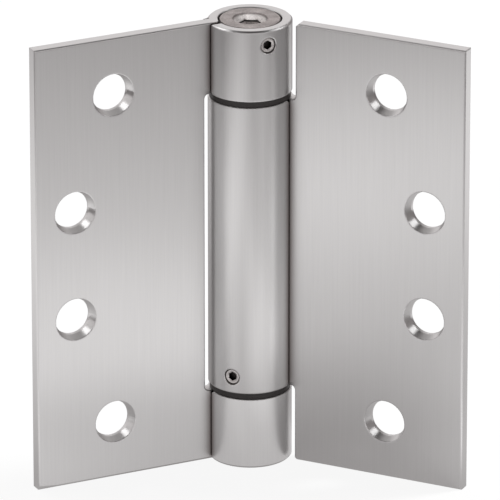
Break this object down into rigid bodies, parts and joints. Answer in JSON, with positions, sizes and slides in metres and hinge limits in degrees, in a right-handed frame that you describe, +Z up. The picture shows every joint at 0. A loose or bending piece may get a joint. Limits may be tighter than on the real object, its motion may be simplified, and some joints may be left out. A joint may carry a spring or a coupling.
{
  "type": "spring loaded door hinge",
  "caption": "Square brushed-steel butt hinge whose rolled barrel holds a torsion spring that closes the door, with a hex-key tension adjuster on top and countersunk screw holes in both leaves.",
  "frame": {"origin": "on the barrel's axis, at the foot of the barrel", "axes": "+Z up along the barrel; the frame leaf lies along -X with its countersunk face towards -Y; the door leaf stands 51.5 degrees short of flat open"},
  "size_m": [0.0957, 0.0544, 0.1143],
  "materials": {
    "leaf_steel": "vertical satin brushing",
    "ring_dark": "dark moulded",
    "adjuster_steel": "sintered, fine grain",
    "screw_steel": "blackened",
    "spring_steel": "oiled spring steel",
    "bush_bronze": "sintered bronze",
    "plug_steel": "turned"
  },
  "bodies": {
    "frame": {"frame_leaf": "leaf_steel", "upper_ring": "ring_dark", "lower_ring": "ring_dark", "lower_bush": "bush_bronze", "bottom_plug": "plug_steel"},
    "door": {"door_leaf": "leaf_steel", "upper_bush": "bush_bronze", "anchor_spindle": "adjuster_steel", "anchor_screw": "screw_steel", "torsion_spring": "spring_steel"},
    "adjuster": {"tension_spindle": "adjuster_steel"},
    "lock": {"lock_screw": "screw_steel"}
  },
  "joints": [
    {"name": "leaf_swing", "type": "hinge", "parent": "frame", "child": "door", "pos_m": [0, 0, 0], "axis": [0, 0, 1], "range_deg": [-128.5, 51.5], "stiffness_Nm_per_rad": 1.5, "deforming": ["torsion_spring"]},
    {"name": "tension_adjuster", "type": "hinge", "parent": "frame", "child": "adjuster", "pos_m": [0, 0, 0], "axis": [0, 0, 1], "range_deg": [0, 270], "deforming": ["torsion_spring"]},
    {"name": "lock_screw_travel", "type": "slide", "parent": "frame", "child": "lock", "axis": [0, 1, 0], "range_m": [0, 0.0006]}
  ]
}
